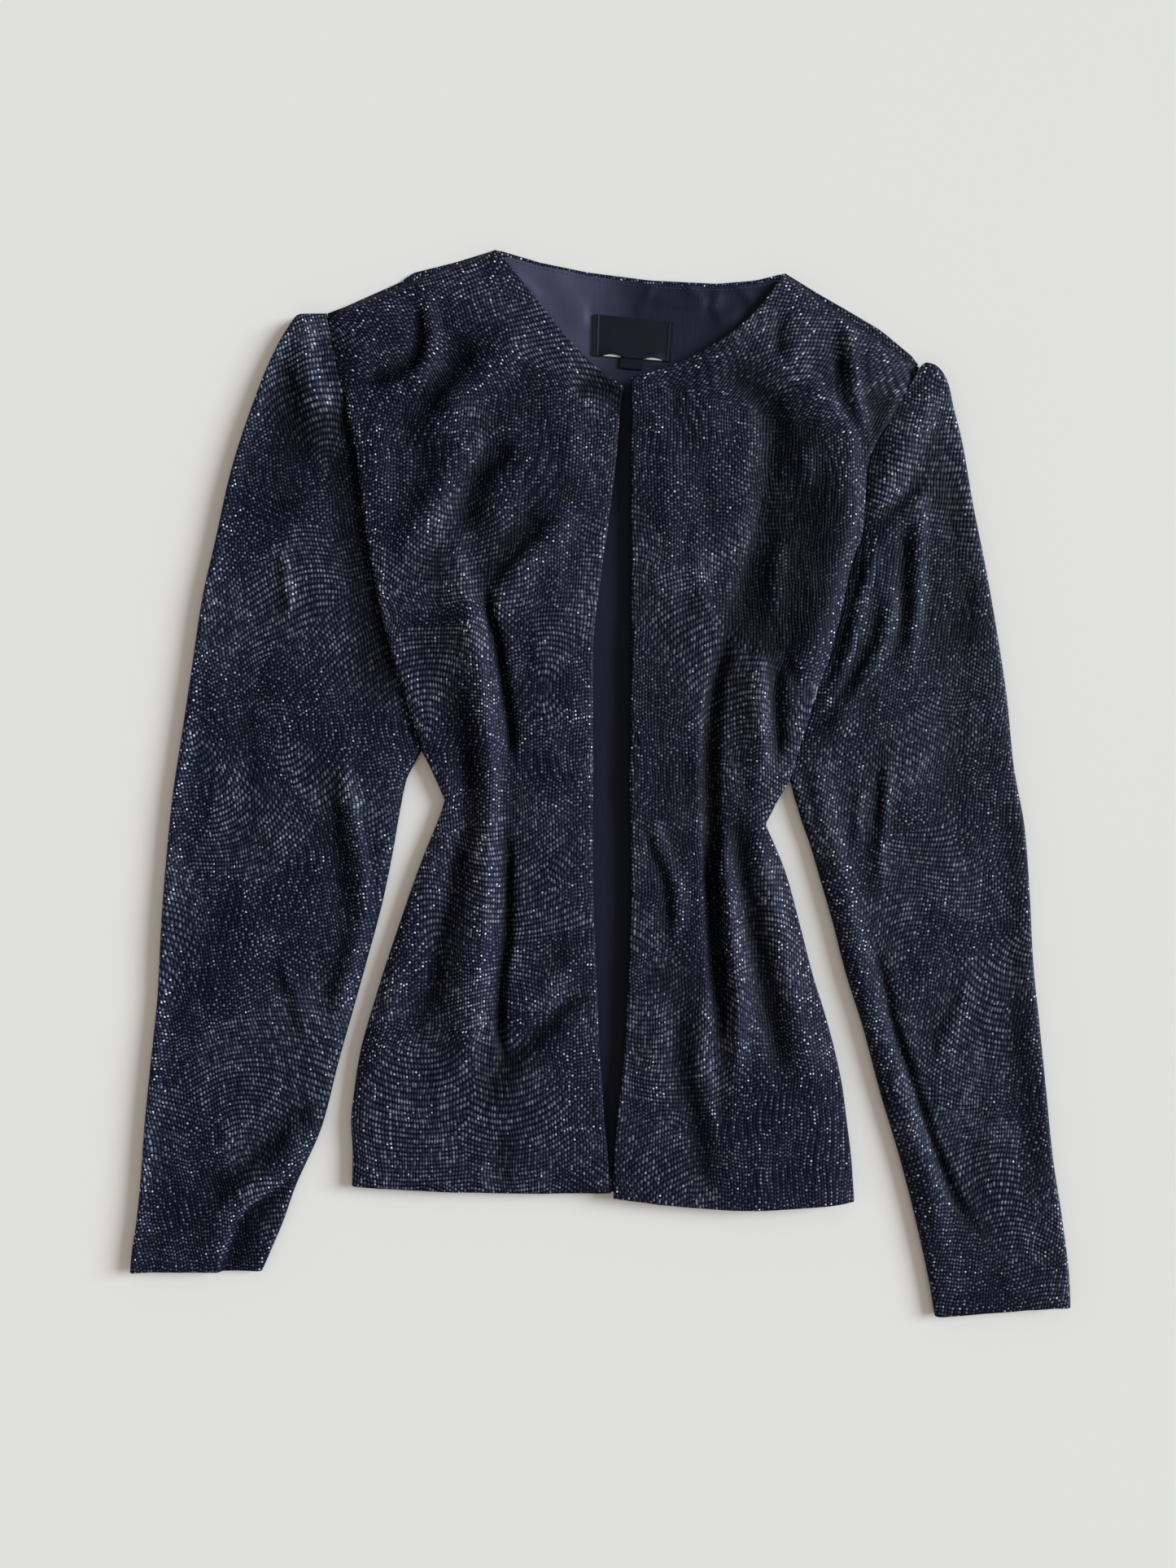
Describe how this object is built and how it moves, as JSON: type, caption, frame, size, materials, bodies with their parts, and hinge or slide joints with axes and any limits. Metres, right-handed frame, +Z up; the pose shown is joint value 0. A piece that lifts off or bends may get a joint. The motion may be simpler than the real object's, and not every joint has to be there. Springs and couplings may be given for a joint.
{
  "type": "collarless open-front jacket laid flat",
  "caption": "Collarless open-front evening jacket in navy glitter knit with long sleeves, laid flat with its fronts up over a satin-lined back.",
  "frame": {"origin": "middle of the footprint on the surface the jacket lies on", "axes": "+X towards the wearer's left sleeve, +Y from the hem to the neck, +Z up out of the surface"},
  "size_m": [0.578, 0.657, 0.0149],
  "materials": {
    "glitter_knit": "matte crinkled knit with rows of fine silver glitter dashes",
    "satin_lining": "soft satin sheen",
    "woven_label": "plain woven ribbon"
  },
  "bodies": {
    "root": {"back": "glitter_knit", "back_lining": "satin_lining", "front_right": "glitter_knit", "front_left": "glitter_knit", "sleeve_right": "glitter_knit", "sleeve_left": "glitter_knit", "neck_label": "woven_label", "size_tab": "woven_label"}
  },
  "joints": []
}
